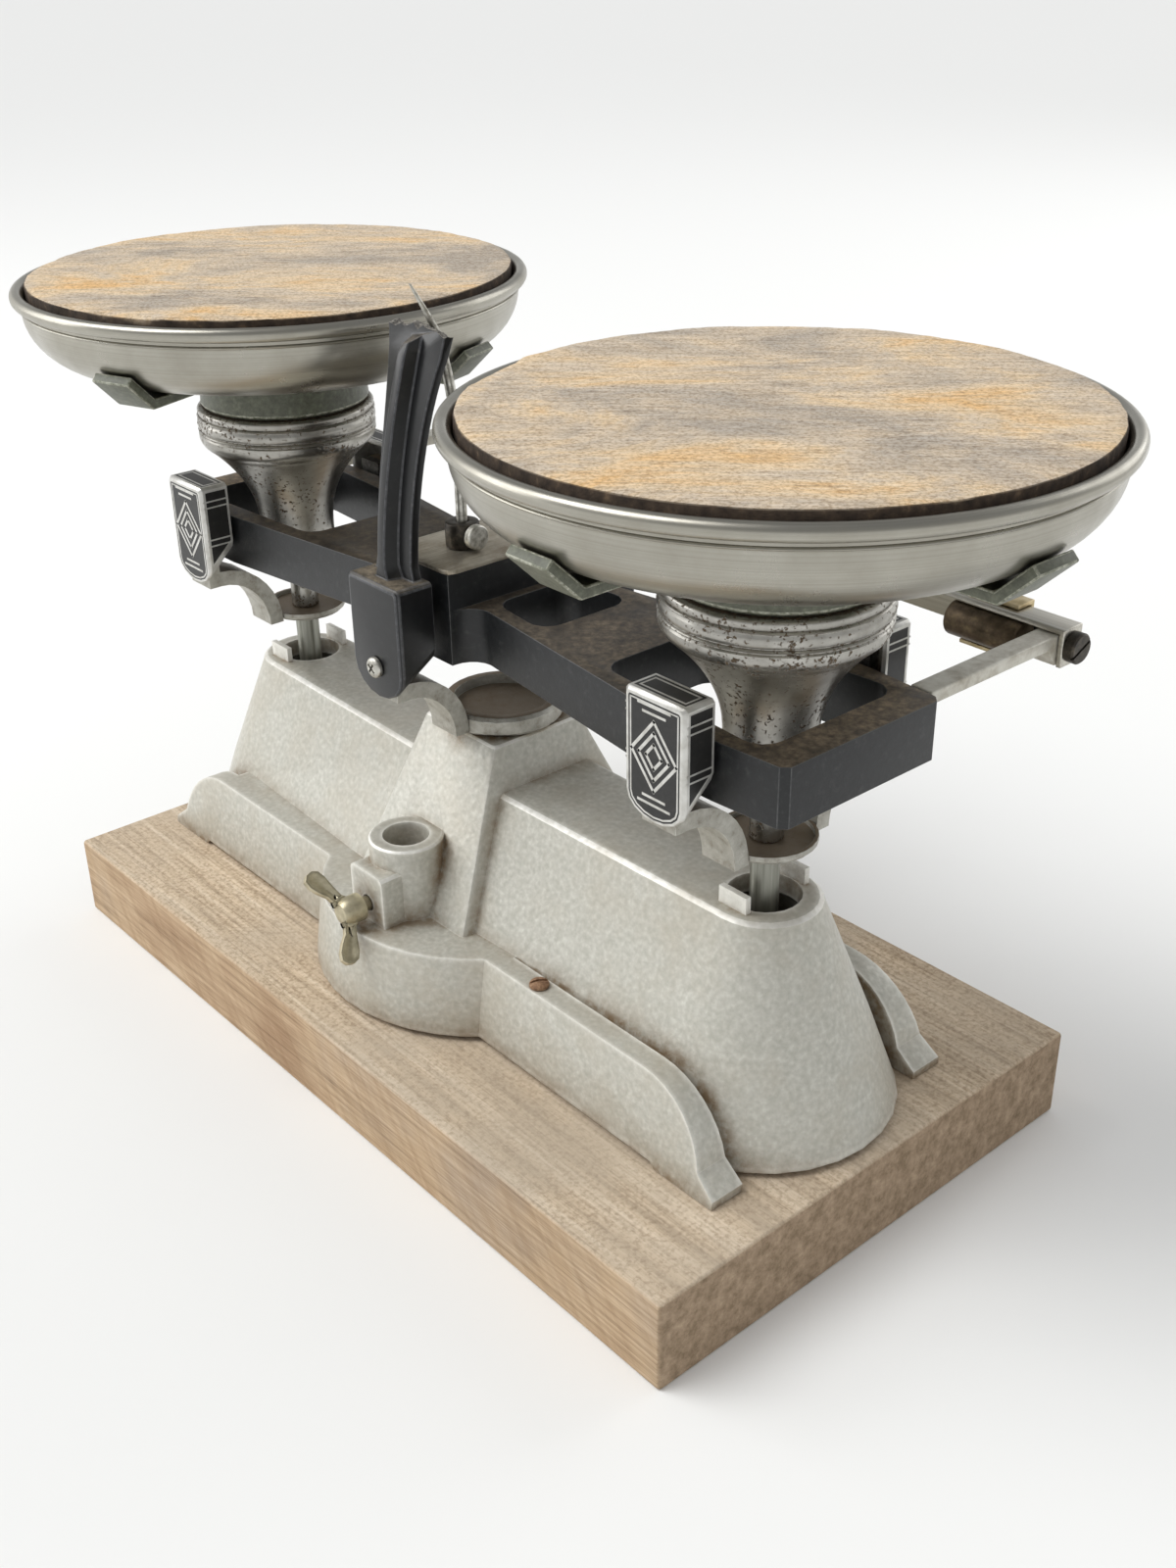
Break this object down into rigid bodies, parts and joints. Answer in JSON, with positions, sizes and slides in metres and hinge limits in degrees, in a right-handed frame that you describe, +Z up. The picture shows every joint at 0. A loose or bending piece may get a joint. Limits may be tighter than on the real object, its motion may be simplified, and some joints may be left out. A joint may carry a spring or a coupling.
{
  "type": "trip balance",
  "caption": "Equal-arm trip balance with two round pans, a cast base on a wooden board, a broken index pillar and a sliding poise at the rear.",
  "frame": {"origin": "on the board's underside, straight below the centre knife edge", "axes": "+X along the beam towards the pan nearer the camera, -Y towards the front with the index pillar and the wing screw, +Z up"},
  "size_m": [0.3856, 0.174, 0.241],
  "materials": {
    "weathered_wood": "weathered, unvarnished plank",
    "rough_sawn_wood": "rough sawn, dusty",
    "hammered_enamel": "hammered grey enamel on a casting",
    "grey_casting": "dull cast aluminium",
    "black_enamel": "satin black enamel, dusty on top",
    "cover_metal": "silver with printed black panels",
    "black_plastic": "moulded black plastic",
    "satin_aluminium": "satin spun aluminium",
    "pitted_chrome": "chrome plate with brown pitting",
    "green_grey_paint": "green-grey paint, chipped",
    "bright_steel": "plain steel, lightly tarnished",
    "dark_steel": "blackened steel",
    "rusty_steel": "rusted",
    "yellow_brass": "dull yellow brass",
    "dark_bronze": "dark patinated bronze"
  },
  "bodies": {
    "base": {"board": "weathered_wood", "base_casting": "hammered_enamel", "ledge_screw": "rusty_steel", "check_fulcrum_pin": "bright_steel", "centre_yoke": "grey_casting", "front_centre_bearing": "dark_steel", "rear_centre_bearing": "dark_steel", "front_centre_cover": "black_plastic", "rear_centre_cover": "black_plastic", "front_cover_screw": "bright_steel", "rear_cover_screw": "bright_steel"},
    "wing_screw": {"wing_screw": "yellow_brass"},
    "beam": {"beam_frame": "black_enamel", "front_centre_knife_edge": "bright_steel", "rear_centre_knife_edge": "bright_steel", "left_front_knife_edge": "bright_steel", "left_rear_knife_edge": "bright_steel", "right_front_knife_edge": "bright_steel", "right_rear_knife_edge": "bright_steel", "centre_plate": "bright_steel", "pointer_collar": "dark_steel", "pointer_thumb_screw": "bright_steel", "pointer": "bright_steel", "left_weigh_arm": "grey_casting", "right_weigh_arm": "grey_casting", "weigh_beam": "satin_aluminium", "left_weigh_screw": "dark_steel", "right_weigh_screw": "dark_steel"},
    "poise": {"poise_weight": "dark_bronze", "poise_clip": "yellow_brass"},
    "left_carrier": {"left_bow": "grey_casting", "left_front_bearing": "dark_steel", "left_rear_bearing": "dark_steel", "left_front_cover": "cover_metal", "left_rear_cover": "cover_metal", "left_check_rod": "bright_steel", "left_check_pin": "bright_steel", "left_pan_column": "pitted_chrome", "left_spider": "green_grey_paint"},
    "right_carrier": {"right_bow": "grey_casting", "right_front_bearing": "dark_steel", "right_rear_bearing": "dark_steel", "right_front_cover": "cover_metal", "right_rear_cover": "cover_metal", "right_check_rod": "bright_steel", "right_check_pin": "bright_steel", "right_pan_column": "pitted_chrome", "right_spider": "green_grey_paint"},
    "left_dish": {"left_dish": "satin_aluminium"},
    "right_dish": {"right_dish": "satin_aluminium"},
    "left_wood_plate": {"left_wood_plate": "rough_sawn_wood"},
    "right_wood_plate": {"right_wood_plate": "rough_sawn_wood"},
    "check_link": {"check_link": "dark_steel"}
  },
  "joints": [
    {"name": "beam_tilt", "type": "hinge", "parent": "base", "child": "beam", "pos_m": [0, 0, 0.147], "axis": [0, 1, 0], "range_deg": [-1.25, 1.25]},
    {"name": "left_carrier_pivot", "type": "hinge", "parent": "beam", "child": "left_carrier", "pos_m": [-0.1114, 0, 0.147], "axis": [0, 1, 0], "range_deg": [-1.25, 1.25]},
    {"name": "right_carrier_pivot", "type": "hinge", "parent": "beam", "child": "right_carrier", "pos_m": [0.1114, 0, 0.147], "axis": [0, 1, 0], "range_deg": [-1.25, 1.25]},
    {"name": "check_link_pivot", "type": "hinge", "parent": "base", "child": "check_link", "pos_m": [0, 0, 0.046], "axis": [0, 1, 0], "range_deg": [-1.25, 1.25]},
    {"name": "poise_slide", "type": "slide", "parent": "beam", "child": "poise", "axis": [1, 0, 0], "range_m": [-0.23, 0.004]},
    {"name": "wing_turn", "type": "hinge", "parent": "base", "child": "wing_screw", "pos_m": [0, -0.0575, 0.062], "axis": [0, -1, 0], "continuous": true},
    {"name": "left_dish_lift", "type": "slide", "parent": "left_carrier", "child": "left_dish", "axis": [0, 0, 1], "range_m": [0, 0.03]},
    {"name": "right_dish_lift", "type": "slide", "parent": "right_carrier", "child": "right_dish", "axis": [0, 0, 1], "range_m": [0, 0.03]},
    {"name": "left_plate_lift", "type": "slide", "parent": "left_dish", "child": "left_wood_plate", "axis": [0, 0, 1], "range_m": [0, 0.03]},
    {"name": "right_plate_lift", "type": "slide", "parent": "right_dish", "child": "right_wood_plate", "axis": [0, 0, 1], "range_m": [0, 0.03]}
  ],
  "couplings": [
    {"joint": "left_carrier_pivot", "follows": "beam_tilt", "ratio": -1},
    {"joint": "right_carrier_pivot", "follows": "beam_tilt", "ratio": -1},
    {"joint": "check_link_pivot", "follows": "beam_tilt", "ratio": 1}
  ]
}
